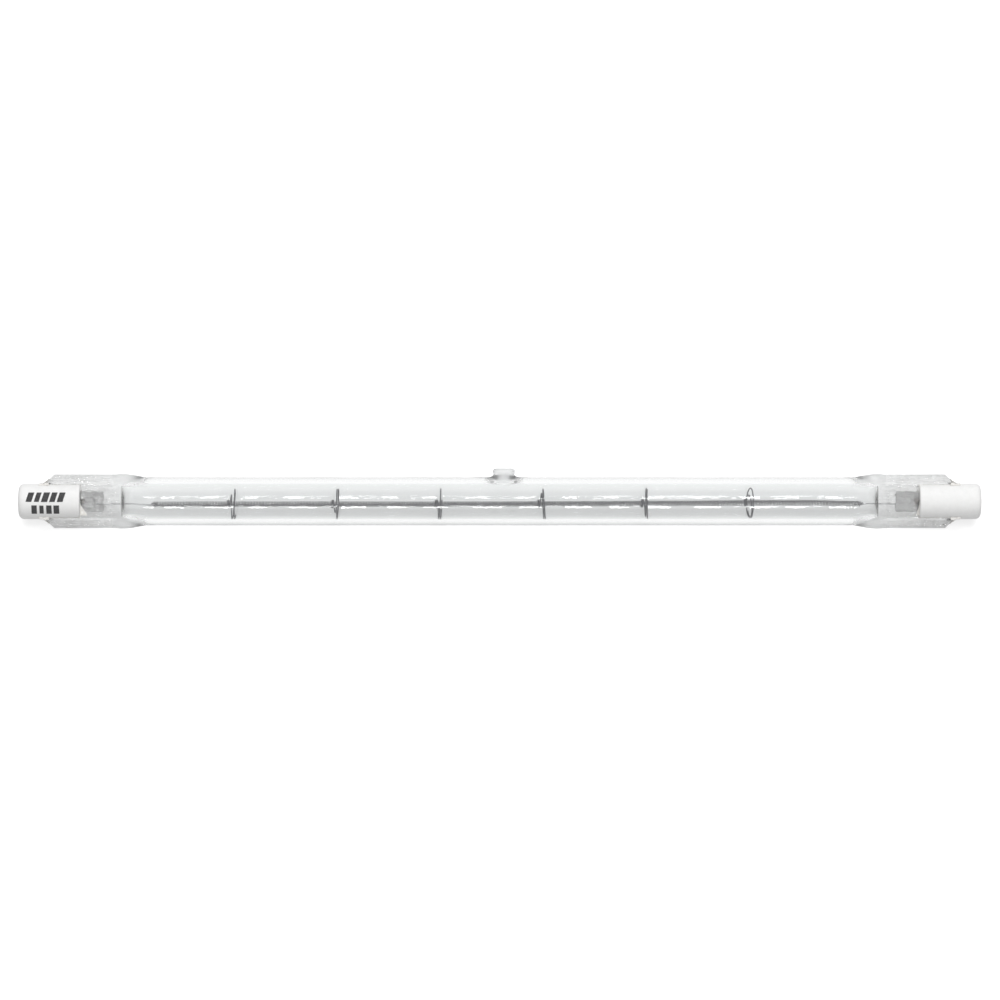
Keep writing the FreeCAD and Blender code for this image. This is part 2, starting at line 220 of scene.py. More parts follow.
# %% Material helpers
def shader_group(name, inputs):
    """An empty shader node group: a vector and named values in, a tone, a roughness and a height out."""
    group = bpy.data.node_groups.new(name, "ShaderNodeTree")
    group.interface.new_socket("Vector", in_out="INPUT", socket_type=VECTOR)
    for label, default in inputs.items():
        kind = FLOAT if isinstance(default, float) else COLOUR
        group.interface.new_socket(label, in_out="INPUT", socket_type=kind).default_value = default
    for label, kind in (("Color", COLOUR), ("Roughness", FLOAT), ("Height", FLOAT)):
        group.interface.new_socket(label, in_out="OUTPUT", socket_type=kind)
    return group, group.nodes.new("NodeGroupInput").outputs


def end_group(group, tone, roughness, height):
    """Joins what a group has worked out to its outputs."""
    new_node(group, "NodeGroupOutput", {"Color": tone, "Roughness": roughness, "Height": height})
    print("shader group:", group.name)
    return group


def dressed(name, group, values, bump, metallic=0.0):
    """A material whose tone, roughness and bump come from a group. The bump's distance is in millimetres."""
    material = bpy.data.materials.new(name)
    material.use_nodes = True
    tree = material.node_tree
    shader = tree.nodes["Principled BSDF"]
    shader.inputs["Metallic"].default_value = metallic
    place = new_node(tree, "ShaderNodeTexCoord").outputs["Object"]
    in_mm = new_node(tree, "ShaderNodeMapping", {"Vector": place, "Scale": (1 / MM,) * 3}).outputs["Vector"]
    effect = new_node(tree, "ShaderNodeGroup", {"Vector": in_mm, **values}, node_tree=group).outputs
    relief = new_node(tree, "ShaderNodeBump", {"Height": effect["Height"], "Strength": 1.0, "Distance": bump * MM})
    link(tree, effect["Color"], shader.inputs["Base Color"])
    link(tree, effect["Roughness"], shader.inputs["Roughness"])
    link(tree, relief.outputs["Normal"], shader.inputs["Normal"])
    return material, tree, shader


# %% [markdown]
# Two effects come back in several finishes. `grain` is a fine uneven tone, as on fired ceramic, cement or a
# matt metal. `drawn wire` is the fine streaks along the lamp that a die leaves on wire and a roll on foil.

# %% Shared effects
MIDDLE_OF_NOISE = (0.3, 0.7)
SPECKS_PER_GRAIN = 3.1
WIRE_ROUGHNESS = (0.28, 0.5)


def grain_group():
    """Two tones mixed by fine noise, with dark specks."""
    group, given = shader_group("grain", {
        "Size": 1.0, "Light tone": WHITE, "Dark tone": WHITE, "Speck tone": WHITE, "Speck share": 0.0,
        "Least roughness": 0.4, "Most roughness": 0.8})
    per_mm = maths(group, "DIVIDE", 1.0, given["Size"])
    cloud = new_node(group, "ShaderNodeTexNoise", {
        "Vector": given["Vector"], "Scale": per_mm, "Detail": 5.0, "Roughness": 0.6}).outputs["Fac"]
    tone = mapped(group, cloud, *MIDDLE_OF_NOISE)
    cells = new_node(group, "ShaderNodeTexVoronoi", {
        "Vector": given["Vector"], "Scale": times(group, per_mm, SPECKS_PER_GRAIN)}).outputs["Distance"]
    speck = maths(group, "LESS_THAN", cells, given["Speck share"])
    both = mixed(group, tone, given["Dark tone"], given["Light tone"])
    rough = mapped(group, tone, 0.0, 1.0, given["Least roughness"], given["Most roughness"])
    return end_group(group, mixed(group, speck, both, given["Speck tone"]), rough, cloud)


def drawn_wire_group():
    """A light and a dark tone in streaks along X."""
    group, given = shader_group("drawn wire", {
        "Light tone": WHITE, "Dark tone": WHITE, "Streak length": 4.0, "Streak width": 0.05})
    width = given["Streak width"]
    streak = streaks(group, given["Vector"], given["Streak length"], width, width)
    tone = mapped(group, streak, *MIDDLE_OF_NOISE)
    both = mixed(group, tone, given["Dark tone"], given["Light tone"])
    return end_group(group, both, mapped(group, tone, 0.0, 1.0, *WIRE_ROUGHNESS), streak)


GRAIN = grain_group()
DRAWN_WIRE = drawn_wire_group()


def grained(name, light, dark, speck, size, speck_share, rough, bump, metallic=0.0):
    """A material of the grain group, with its three tones and its least and most roughness."""
    return dressed(name, GRAIN, {
        "Size": size, "Light tone": (*light, 1), "Dark tone": (*dark, 1), "Speck tone": (*speck, 1),
        "Speck share": speck_share, "Least roughness": rough[0], "Most roughness": rough[1]}, bump, metallic)[0]


def drawn(name, light, dark, length, width, bump, metallic=1.0):
    """A metal with streaks along the lamp, their length and width in millimetres."""
    return dressed(name, DRAWN_WIRE, {
        "Light tone": (*light, 1), "Dark tone": (*dark, 1), "Streak length": length, "Streak width": width},
        bump, metallic)[0]


# %% [markdown]
# ## The quartz envelope
# On the real lamp this is one piece of fused quartz: a tube, both of its ends pressed flat between two jaws
# while soft, and a small tip where it was filled and melted shut. The shape follows a rule along its length, so
# it is made as rings of points, station by station: round in the middle, pressed at the ends, and eased from
# one to the other at the shoulders. Each ring has the same number of points, so the rings join into a skin.

# %% The envelope's sizes, in millimetres
TUBE_RADIUS, BORE_RADIUS, REST_HEIGHT = 4.75, 3.6, 4.7119
SHOULDER_START, SLIT_END, FLAT_START = 69.6, 74.2, 75.3
CUT_START, CUT_END, SEAL_END = 87.55, 89.55, 90.4
SEAL_HALF_WIDTH, NECK_HALF_WIDTH = 5.3, 3.3
RAIL_HEIGHT, RAIL_EDGE = 1.75, 0.9
GROOVE_DEPTH, GROOVE_OUTER, GROOVE_INNER = 0.65, 3.65, 3.3
GROOVE_RAMP_START, GROOVE_RAMP = 74.7, 2.6
QUARTER, SEED_SHIFT = 40, (17.3, -9.1, 5.7)
WALL_POINTS, EDGE_POINTS, RAIL_POINTS, RAMP_POINTS = 3, 9, 12, 15


def eased(share):
    """A share from 0 to 1 that starts and ends gently."""
    share = min(max(share, 0.0), 1.0)
    return share * share * (3 - 2 * share)


def wave(x, y, z, seed):
    """Smooth seeded noise between about -1 and 1."""
    return noise.noise(Vector([value + shift * seed for value, shift in zip((x, y, z), SEED_SHIFT)]))


def seal_half_width(x):
    """Half the seal's width, with its outer corners cut off at 45 degrees."""
    cut = (x - CUT_START) / (CUT_END - CUT_START)
    return SEAL_HALF_WIDTH + (NECK_HALF_WIDTH - SEAL_HALF_WIDTH) * min(max(cut, 0.0), 1.0)


def seal_height(x, y):
    """The pressed seal's surface height: high rails at the edges and a groove between them."""
    depth = eased((x - GROOVE_RAMP_START) / GROOVE_RAMP)
    groove = eased((GROOVE_OUTER - y) / (GROOVE_OUTER - GROOVE_INNER))
    return RAIL_HEIGHT - GROOVE_DEPTH * depth * groove


def seal_quarter(x):
    """A quarter of the seal's outline at a distance x from the lamp's middle."""
    half = seal_half_width(x)
    flat = half - RAIL_EDGE
    points = []
    wall_top = seal_height(x, half) - RAIL_EDGE
    for step in range(WALL_POINTS):
        points.append((half, wall_top * step / WALL_POINTS))
    for step in range(EDGE_POINTS - WALL_POINTS + 1):
        turn = math.pi / 2 * step / (EDGE_POINTS - WALL_POINTS)
        y = flat + RAIL_EDGE * math.cos(turn)
        points.append((y, seal_height(x, y) - RAIL_EDGE + RAIL_EDGE * math.sin(turn)))
    full_flat = SEAL_HALF_WIDTH - RAIL_EDGE
    marks = [(EDGE_POINTS, full_flat), (RAIL_POINTS, GROOVE_OUTER), (RAMP_POINTS, GROOVE_INNER), (QUARTER, 0.0)]
    for (first, start), (last, end) in zip(marks, marks[1:]):
        for step in range(1, last - first + 1):
            y = (start + (end - start) * step / (last - first)) * flat / full_flat
            points.append((y, seal_height(x, y)))
    return points


def whole_ring(quarter):
    """Mirrors a quarter outline, from +Y to +Z, into a whole ring."""
    upper = quarter + [(-y, z) for y, z in reversed(quarter[:-1])]
    return upper + [(y, -z) for y, z in reversed(upper[1:-1])]


CIRCLE = [(TUBE_RADIUS * math.cos(math.pi / 2 * k / QUARTER), TUBE_RADIUS * math.sin(math.pi / 2 * k / QUARTER))
          for k in range(QUARTER + 1)]
print("points in a ring:", len(whole_ring(CIRCLE)))

# %% [markdown]
# Pressed quartz is never flat: the jaws leave a pebbled web, and the rails flow into soft waves. Both are real
# relief here, moved into the points, because what you see in the seal is light bent by that relief.

# %% Relief of the pressed seal
PEBBLE_SIZE, PEBBLE_HEIGHT, GRIT_PER_MM, GRIT_SHARE = 0.55, 0.17, 2.3, 0.5
RIPPLE_LENGTH, RIPPLE_WIDTH, RIPPLE_HEIGHT = 0.9, 4.0, 0.06
RAIL_WAVE_LENGTH, RAIL_WAVE_WIDTH, RAIL_WAVE_HEIGHT, RAIL_WAVE_DIP = 2.2, 1.5, 0.12, 0.6
RAIL_BUMP_LENGTH, RAIL_BUMP_WIDTH, RAIL_BUMP_SHARE = 0.8, 0.9, 0.6
SHOULDER_BULGE = 0.2
RELIEF_LEAD, RELIEF_FADE, WEB_FADE, THIN_EDGE = 0.6, 2.0, 0.5, 0.6
TUBE_UNEVENNESS, UNEVEN_LENGTH, UNEVEN_WIDTH = 0.004, 14, 9


def seal_relief(x, y, z):
    """How far a point of the seal is moved in height: pebbles on the web, ripples across, waves on the rails."""
    face = 1.0 if z > 0 else -1.0
    fade = eased((abs(x) - FLAT_START + RELIEF_LEAD) / RELIEF_FADE)
    web = eased((GROOVE_OUTER - abs(y)) / WEB_FADE)
    pebble = wave(x / PEBBLE_SIZE, y / PEBBLE_SIZE, face, 1)
    pebble += GRIT_SHARE * wave(GRIT_PER_MM * x, GRIT_PER_MM * y, face, 2)
    ripple = wave(x / RIPPLE_LENGTH, y / RIPPLE_WIDTH, face, 3)
    rail = wave(x / RAIL_WAVE_LENGTH, y / RAIL_WAVE_WIDTH, face, 4)
    rail += RAIL_BUMP_SHARE * wave(x / RAIL_BUMP_LENGTH, y / RAIL_BUMP_WIDTH, face, 5)
    on_web = PEBBLE_HEIGHT * pebble + RIPPLE_HEIGHT * ripple
    lift = web * on_web + (1 - web) * RAIL_WAVE_HEIGHT * (rail - RAIL_WAVE_DIP)
    return fade * lift * min(1.0, abs(z) / THIN_EDGE) * face


def envelope_ring(x):
    """The outer skin's ring at x, as points in millimetres."""
    along = abs(x)
    if along <= SHOULDER_START:
        ring = []
        for y, z in whole_ring(CIRCLE):
            uneven = wave(x / UNEVEN_LENGTH, y / UNEVEN_WIDTH, z / UNEVEN_WIDTH, 6)
            drawn_in = 1 - TUBE_UNEVENNESS * (1 + uneven)
            ring.append((x, y * drawn_in, max(z * drawn_in, -REST_HEIGHT)))
        return ring
    if along < FLAT_START:
        share = (along - SHOULDER_START) / (FLAT_START - SHOULDER_START)
        mixed = eased(share)
        bulge = 1 + SHOULDER_BULGE / TUBE_RADIUS * math.sin(math.pi * share)
        pressed = seal_quarter(along)
        quarter = [((cy + (py - cy) * mixed) * bulge, cz + (pz - cz) * mixed)
                   for (cy, cz), (py, pz) in zip(CIRCLE, pressed)]
    else:
        quarter = seal_quarter(along)
    return [(x, y, max(z + seal_relief(x, y, z), -REST_HEIGHT)) for y, z in whole_ring(quarter)]


# %% [markdown]
# The exhaust tip stands on the tube's side, so both skins have a rectangular opening there. Rows of points lead
# from the opening's edge to a circle and on up the tip, each row round the tip's own axis. Fans of triangles
# close the tip and both ends, because glass with a hole in it bends light as if it had no inside.

# %% The exhaust tip and the skins
TIP_X = 0.8
TIP_HALF_LENGTH, TIP_STATIONS, TIP_SPREAD = 3.9, 12, 20
TIP_SWELL = [(3.0, 0.0), (2.8, 0.08), (2.6, 0.22), (2.4, 0.45), (2.25, 0.72), (2.12, 1.0)]
TIP_BUTTON = [(2.06, 5.25), (2.08, 5.42), (2.2, 5.68), (2.22, 5.92), (2.14, 6.14), (1.98, 6.32), (1.72, 6.43),
              (1.4, 6.46), (1.0, 6.42), (0.55, 6.38)]
TIP_FOOT_HEIGHT, TIP_POLE = 5.12, 6.37
BORE_AROUND, BORE_SPREAD, BORE_HALF_LENGTH, BORE_STATIONS = 80, 7, 2.2, 8
BORE_OPENING = 1.5
TIP_BORE = [(1.4, 4.6), (1.4, 5.0), (1.32, 5.3), (1.1, 5.5), (0.7, 5.58), (0.35, 5.6)]
BORE_POLE = 5.6
TUBE_GAP, SHOULDER_GAP, SEAL_GAP, END_GAP, SLIT_GAP = 2.0, 0.19, 0.145, 0.14, 0.23
TOUCH = 1e-6


def fan(ring, count, pole):
    """Triangles from a ring to one point."""
    return [(ring + k, ring + (k + 1) % count, pole) for k in range(count)]


def skin(rings, stations, patch_half_length, spread):
    """Points and faces of a tube of rings with a rectangular opening on its +Y side, and the opening's edge."""
    count = len(rings[0])
    points = [point for ring in rings for point in ring]
    inside = [abs(x - TIP_X) <= patch_half_length + TOUCH for x in stations]
    faces = []
    for s in range(len(rings) - 1):
        for k in range(count):
            near = k < spread or k >= count - spread
            if inside[s] and inside[s + 1] and near:
                continue
            after = (k + 1) % count
            faces.append((s * count + k, s * count + after, (s + 1) * count + after, (s + 1) * count + k))
    picked = [s for s, is_in in enumerate(inside) if is_in]
    up = [k % count for k in range(-spread, spread + 1)]
    edge = [picked[0] * count + k for k in up]
    edge += [s * count + up[-1] for s in picked[1:]]
    edge += [picked[-1] * count + k for k in reversed(up[:-1])]
    edge += [s * count + up[0] for s in reversed(picked[1:-1])]
    return points, faces, edge


def close_patch(points, faces, edge, rows):
    """Fills an opening with rows of points round the tip's axis; rows give (radius, height) or a function."""
    turns = [math.atan2(points[e][2], points[e][0] - TIP_X) for e in edge]
    count = len(edge)
    before = edge
    for radius, height in rows:
        start = len(points)
        for turn in turns:
            dx, z = radius * math.cos(turn), radius * math.sin(turn)
            points.append((TIP_X + dx, height(z) if callable(height) else height, z))
        now = list(range(start, start + count))
        for k in range(count):
            after = (k + 1) % count
            faces.append((before[k], before[after], now[after], now[k]))
        before = now
    return start


def stations_between(start, end, gap):
    """Evenly spaced stations, the last one left out."""
    count = max(1, round((end - start) / gap))
    return [start + (end - start) * k / count for k in range(count)]


def closed_skin(ring_at, half, patch_half_length, patch_stations, spread, rows, pole):
    """A skin of rings from the left end to the right, closed at both ends and at the tip.

    half holds the stations of the right half beyond the tip's patch; the left half mirrors them."""
    patch = stations_between(-patch_half_length, patch_half_length, 2 * patch_half_length / patch_stations)
    stations = [-x for x in reversed(half)] + [TIP_X + x for x in patch + [patch_half_length]] + half
    rings = [ring_at(x) for x in stations]
    points, faces, edge = skin(rings, stations, patch_half_length, spread)
    last_row = close_patch(points, faces, edge, rows)
    around = len(rings[0])
    ends = [(last_row, len(edge), (TIP_X, pole, 0.0)), (0, around, (stations[0], 0.0, 0.0)),
            ((len(stations) - 1) * around, around, (stations[-1], 0.0, 0.0))]
    for ring, count, middle in ends:
        points.append(middle)
        faces += fan(ring, count, len(points) - 1)
    return points, faces


def swelling(share):
    """The height at z of a row of the tip's foot: a share of the way from the tube's surface to the foot's top."""
    def height(z):
        on_tube = math.sqrt(TUBE_RADIUS ** 2 - z * z)
        return on_tube + (TIP_FOOT_HEIGHT - on_tube) * share
    return height


def envelope_skin():
    """The outer skin."""
    half = stations_between(TIP_HALF_LENGTH, SHOULDER_START, TUBE_GAP)[1:]
    half += stations_between(SHOULDER_START, FLAT_START, SHOULDER_GAP)
    half += stations_between(FLAT_START, CUT_START, SEAL_GAP)
    half += stations_between(CUT_START, SEAL_END, END_GAP) + [SEAL_END]
    rows = [(radius, swelling(share)) for radius, share in TIP_SWELL] + TIP_BUTTON
    return closed_skin(envelope_ring, half, TIP_HALF_LENGTH, TIP_STATIONS, TIP_SPREAD, rows, TIP_POLE)


# %% [markdown]
# The bore is the inner skin. It runs round along the tube, flattens in the shoulders to the slit where the
# walls meet, and has a blind hole in the tip.

# %% The bore
SLIT_HALF_HEIGHT, SLIT_HALF_WIDTH = 0.12, 2.9
CAVITY_MID_HEIGHT, CAVITY_MID_WIDTH = 2.63, 3.38
BORE_UNEVENNESS, SLIT_UNEVENNESS = 0.012, 0.03
SIDE_WAVE_LENGTH, HEIGHT_WAVE_LENGTH, BORE_WAVE_WIDTH = 6, 5, 3


def through_three(start, middle, end, share):
    """A smooth value that passes through three values at shares 0, a half and 1."""
    bend = 2 * (start - 2 * middle + end)
    return start + (end - start - bend) * share + bend * share * share


def cavity_ring(x):
    """The bore's ring at x, flattening towards the slit where the walls meet."""
    share = max(0.0, (abs(x) - SHOULDER_START) / (SLIT_END - SHOULDER_START))
    high = through_three(BORE_RADIUS, CAVITY_MID_HEIGHT, SLIT_HALF_HEIGHT, share)
    wide = through_three(BORE_RADIUS, CAVITY_MID_WIDTH, SLIT_HALF_WIDTH, share)
    rough = BORE_UNEVENNESS + SLIT_UNEVENNESS * share
    ring = []
    for k in range(BORE_AROUND):
        turn = 2 * math.pi * k / BORE_AROUND
        y, z = wide * math.cos(turn), high * math.sin(turn)
        across = (y / BORE_WAVE_WIDTH, z / BORE_WAVE_WIDTH)
        sideways = rough * wave(x / SIDE_WAVE_LENGTH, *across, 8)
        ring.append((x, y + sideways, z * (1 + rough * wave(x / HEIGHT_WAVE_LENGTH, *across, 9))))
    return ring


def cavity_skin():
    """The inner skin: the bore, the tip's blind hole and the slits at both ends."""
    half = stations_between(BORE_HALF_LENGTH, SHOULDER_START, TUBE_GAP)[1:]
    half += stations_between(SHOULDER_START, SLIT_END, SLIT_GAP) + [SLIT_END]
    rows = [(BORE_OPENING, lambda z: math.sqrt(BORE_RADIUS ** 2 - z * z))] + TIP_BORE
    return closed_skin(cavity_ring, half, BORE_HALF_LENGTH, BORE_STATIONS, BORE_SPREAD, rows, BORE_POLE)


# %% [markdown]
# Glass needs its faces to point from the quartz into the air: outwards on the outer skin, and into the bore on
# the inner one. Each skin is made consistent by itself first, and then the inner one is turned round.


# %% Join both skins into the envelope
def shell_bmesh(points, faces, inwards):
    """One closed skin with its faces all outwards, or all inwards."""
    body = bmesh.new()
    made = [body.verts.new([float(v) * MM for v in point]) for point in points]
    for face in faces:
        body.faces.new([made[k] for k in face])
    bmesh.ops.recalc_face_normals(body, faces=body.faces)
    if inwards:
        bmesh.ops.reverse_faces(body, faces=body.faces)
    open_edges = sum(1 for edge in body.edges if len(edge.link_faces) != 2)
    volume = body.calc_volume(signed=True) / MM ** 3
    print(f"skin: {len(body.verts)} points, {open_edges} open edges, {volume:.0f} mm3")
    return body


envelope_mesh = bpy.data.meshes.new("quartz_glass")
outer_body = shell_bmesh(*envelope_skin(), inwards=False)
inner_body = shell_bmesh(*cavity_skin(), inwards=True)
inner_mesh = bpy.data.meshes.new("bore")
inner_body.to_mesh(inner_mesh)
outer_body.from_mesh(inner_mesh)
outer_body.to_mesh(envelope_mesh)
outer_body.free()
inner_body.free()
bpy.data.meshes.remove(inner_mesh)
envelope_mesh.shade_smooth()
envelope = link_object("quartz_glass", envelope_mesh)

# %% [markdown]
# Clear quartz is a Principled shader with full transmission and quartz's own index, 1.458. Pressing leaves it
# streaked: a group draws cells and fine lines along the seal as bumps and roughness, and darkens the tint there
# as painted shade of the light that the pressed relief bends; all of it fades out where the tube starts.
# Where the flame has worked it, at the shoulders' corners and on the tip, it is a little frosted.
# Lamps would make a hard dark shadow under solid glass, so for shadow and diffuse rays it is plain clear film.

# %% Quartz
CORNER = (68.8, 71.4), (76.5, 75.3), (3.2, 3.9)
CREASE = (73.0, 73.7), (75.2, 74.4), (3.9, 3.2)
TIP_ROUND, TIP_ABOVE = (4.4, 3.4), (3.6, 4.3)
# The cells and lines darken the seal's tint as painted shade of the light that refraction mottles; they also shape
# its bump and roughness.
CELL_SHARE, CELL_EDGES, LINE_EDGES, LINE_BENDS = 0.55, (0.2, 0.75), (0.48, 0.72), 0.6
QUARTZ_INDEX = 1.458
FILM_TONE = (0.94, 0.945, 0.945, 1)


def faded(tree, amount, *limits):
    """An amount that fades out at limits: a measured value, and where the amount is nothing and where full."""
    for measured, (nothing, full) in limits:
        amount = times(tree, amount, mapped(tree, measured, nothing, full))
    return amount


def pressed_group():
    """Quartz that is clear in the middle of the lamp and streaked at its ends, with painted shade in the streaks.
    """
    group, given = shader_group("pressed quartz", {
        "Clear up to": 73.0, "Pressed from": 76.5, "Clear tone": WHITE, "Painted shade tone": WHITE, "Cell size": 0.6,
        "Streak length": 2.4, "Streak width": 0.22, "Cloud roughness": 0.1, "Corner roughness": 0.7,
        "Tip roughness": 0.45, "Crease roughness": 0.22})
    place = parts_of(group, given["Vector"])
    along, across = (maths(group, "ABSOLUTE", place[axis]) for axis in "XY")
    pressed = mapped(group, along, given["Clear up to"], given["Pressed from"], shape="SMOOTHSTEP")
    cells = new_node(group, "ShaderNodeTexVoronoi", {
        "Vector": given["Vector"], "Scale": maths(group, "DIVIDE", 1.0, given["Cell size"])}, feature="SMOOTH_F1")
    cell = mapped(group, cells.outputs["Distance"], *CELL_EDGES)
    length = given["Streak length"]
    drawn_out = streaks(group, given["Vector"], length, given["Streak width"], length, LINE_BENDS)
    line = mapped(group, drawn_out, *LINE_EDGES)
    shade_and_haze_mask = maths(group, "MINIMUM", maths(group, "MULTIPLY_ADD", cell, CELL_SHARE, line), 1.0)
    cloud = times(group, shade_and_haze_mask, pressed)
    beside = xyz(group, place["X"], 0.0, place["Z"])
    from_tip = vector_maths(group, "DISTANCE", beside, (TIP_X, 0, 0))["Value"]
    melted = faded(group, given["Tip roughness"], (from_tip, TIP_ROUND), (place["Y"], TIP_ABOVE))
    for key, (start, end, side) in {"Corner roughness": CORNER, "Crease roughness": CREASE}.items():
        frosted = faded(group, given[key], (along, start), (along, end), (across, side))
        melted = plus(group, melted, frosted)
    return end_group(
        group, mixed(group, cloud, given["Clear tone"], given["Painted shade tone"]),
        maths(group, "MULTIPLY_ADD", cloud, given["Cloud roughness"], melted),
        times(group, maths(group, "SUBTRACT", line, cell), pressed))


def quartz_material():
    """Clear quartz that lets the lamps' light through."""
    # The cloudy tone is painted shade: a darker tint where the cells and lines fall in the seal.
    material, tree, shader = dressed("clear_quartz", pressed_group(), {
        "Clear tone": (0.965, 0.972, 0.972, 1), "Painted shade tone": (0.76, 0.765, 0.765, 1)}, 0.05)
    shader.inputs["IOR"].default_value = QUARTZ_INDEX
    shader.inputs["Transmission Weight"].default_value = 1.0
    path = new_node(tree, "ShaderNodeLightPath").outputs
    film = new_node(tree, "ShaderNodeBsdfTransparent", {"Color": FILM_TONE}).outputs[0]
    seen = shader.outputs[0]
    for ray in ("Is Diffuse Ray", "Is Shadow Ray"):
        seen = new_node(tree, "ShaderNodeMixShader", {0: path[ray], 1: seen, 2: film}).outputs[0]
    link(tree, seen, tree.nodes["Material Output"].inputs["Surface"])
    return material


finish_piece(envelope, "quartz", quartz_material(), ["quartz_envelope"])

# %% [markdown]
# ## Geometry Nodes helpers
# What repeats or follows a path is made by Geometry Nodes: the tree says the rule, and its named inputs hold
# the sizes. `run_tree` sets the inputs before the tree is first worked out, and keeps only the plain mesh.


# %% Geometry Nodes helpers
def geometry_tree(name, inputs):
    """A geometry tree with named inputs, and its inputs' sockets."""
    tree = bpy.data.node_groups.new(name, "GeometryNodeTree")
    tree.interface.new_socket("Geometry", in_out="OUTPUT", socket_type="NodeSocketGeometry")
    for label, default in inputs.items():
        kind = "NodeSocketInt" if isinstance(default, int) else FLOAT
        tree.interface.new_socket(label, in_out="INPUT", socket_type=kind).default_value = default
    tree.interface.new_socket("Finish", in_out="INPUT", socket_type="NodeSocketMaterial")
    return tree, tree.nodes.new("NodeGroupInput").outputs


def end_tree(tree, given, geometry):
    """Every tree ends in real geometry with its material."""
    real = new_node(tree, "GeometryNodeRealizeInstances", {"Geometry": geometry}).outputs[0]
    painted = new_node(tree, "GeometryNodeSetMaterial", {"Geometry": real, "Material": given["Finish"]})
    link(tree, painted.outputs[0], tree.nodes.new("NodeGroupOutput").inputs[0])
    print("geometry tree:", tree.name)
    return tree


def run_tree(tree, name, values, material):
    """A plain mesh object made by the tree with these values."""
    carrier = link_object(name, bpy.data.meshes.new("carrier"))
    modifier = carrier.modifiers.new("nodes", "NODES")
    modifier.node_group = tree
    for item in tree.interface.items_tree:
        if item.in_out == "INPUT":
            value = material if item.name == "Finish" else values.get(item.name, item.default_value)
            modifier[item.identifier] = value
    return baked(carrier, name)


def wire_along(tree, given, position, sides):
    """A round wire whose points are moved to a position worked out from the spline's factor."""
    line = new_node(tree, "GeometryNodeCurvePrimitiveLine").outputs[0]
    points = new_node(tree, "GeometryNodeResampleCurve", {"Curve": line, "Count": given["Points"]}).outputs[0]
    moved = new_node(tree, "GeometryNodeSetPosition", {"Geometry": points, "Position": position}).outputs[0]
    profile = new_node(tree, "GeometryNodeCurvePrimitiveCircle", {
        "Resolution": sides, "Radius": given["Wire radius"]}).outputs[0]
    tube = new_node(tree, "GeometryNodeCurveToMesh", {
        "Curve": moved, "Profile Curve": profile, "Fill Caps": True}).outputs[0]
    return end_tree(tree, given, new_node(tree, "GeometryNodeSetShadeSmooth", {"Geometry": tube}).outputs[0])


def on_circle(tree, radius, angle):
    """A point on a circle at an angle: its cosine and its sine side."""
    return [times(tree, radius, maths(tree, side, angle)) for side in ("COSINE", "SINE")]


def in_metres(tree, place):
    """A place in millimetres turned into metres."""
    return new_node(tree, "ShaderNodeVectorMath", {0: place, "Scale": MM}, operation="SCALE").outputs[0]


# %% [markdown]
# ## The filament
# The filament is about 466 turns of tungsten wire, 0.18 mm thick, wound so tightly that the photograph shows
# only a fine grey rope. A spiral rule makes it: the angle grows evenly along the curve and the place along X
# with it. The coil sags and springs a little between its supports, which a Float Curve draws.

# %% The coil's path
COIL_START, COIL_END = -68.1, 70.6
COIL_AXIS_Y, COIL_RADIUS, COIL_WIRE = -0.25, 0.51, 0.09
COIL_TURNS, COIL_STEPS, COIL_SIDES = 466, 15, 5
SPRING_WAVE, SPRING_SHIFT = 1.7, 0.035
BOW_RANGE = 1.0
BOW = [(-68.1, -0.34), (-60.0, -0.3), (0.0, -0.28), (20.0, -0.2), (40.0, -0.1), (59.0, -0.02), (66.0, -0.12),
       (70.6, -0.25)]


def bow_at(x):
    """How far the coil's axis lies off its straight line at x."""
    places, offsets = zip(*BOW)
    return float(np.interp(x, places, offsets))


def bow_nodes(tree, x):
    """The same bow from a Float Curve: x in millimetres in, offset in millimetres out."""
    share = maths(tree, "DIVIDE", maths(tree, "SUBTRACT", x, COIL_START), COIL_END - COIL_START)
    curve = new_node(tree, "ShaderNodeFloatCurve", {"Value": share})
    dots = curve.mapping.curves[0].points
    for k, (place, offset) in enumerate(BOW):
        spot = ((place - COIL_START) / (COIL_END - COIL_START), 0.5 + offset / BOW_RANGE)
        if k == 0 or k == len(BOW) - 1:
            dots[0 if k == 0 else -1].location = spot
        else:
            dots.new(*spot)
    curve.mapping.update()
    return times(tree, maths(tree, "SUBTRACT", curve.outputs[0], 0.5), BOW_RANGE)


def spiral_place(tree, x, radius, turn, shift=0.0):
    """A point on the coil's bowed axis plus a radius at a turn, in metres. Right-handed along X."""
    y, z = on_circle(tree, radius, times(tree, turn, 2 * math.pi))
    y = plus(tree, plus(tree, y, COIL_AXIS_Y), bow_nodes(tree, x))
    return in_metres(tree, xyz(tree, plus(tree, x, shift), y, z))


def coil_tree():
    """The filament's spiral."""
    tree, given = geometry_tree("filament spiral", {
        "Start": COIL_START, "End": COIL_END, "Turns": float(COIL_TURNS), "Radius": COIL_RADIUS,
        "Wire radius": COIL_WIRE * MM, "Points": COIL_TURNS * COIL_STEPS})
    share = new_node(tree, "GeometryNodeSplineParameter").outputs["Factor"]
    length = maths(tree, "SUBTRACT", given["End"], given["Start"])
    x = maths(tree, "MULTIPLY_ADD", share, length, given["Start"])
    sprung = times(tree, maths(tree, "SINE", times(tree, x, SPRING_WAVE)), SPRING_SHIFT)
    place = spiral_place(tree, plus(tree, x, sprung), given["Radius"], times(tree, share, given["Turns"]))
    return wire_along(tree, given, place, COIL_SIDES)


tungsten = drawn("tungsten_wire", (0.4, 0.4, 0.41), (0.17, 0.17, 0.175), 0.6, 0.08, 0.006, 0.35)
coil = run_tree(coil_tree(), "filament_turns", {}, tungsten)
finish_piece(coil, "tungsten", None, ["filament_coil"])

# %% [markdown]
# ## The support rings
# Six wires hold the coil off the wall. Each grips it with close turns, opens out, and ends in a loop near the
# wall. On the real lamp no two stand alike, so one tree makes them all, and each gets its own turn and tilt.

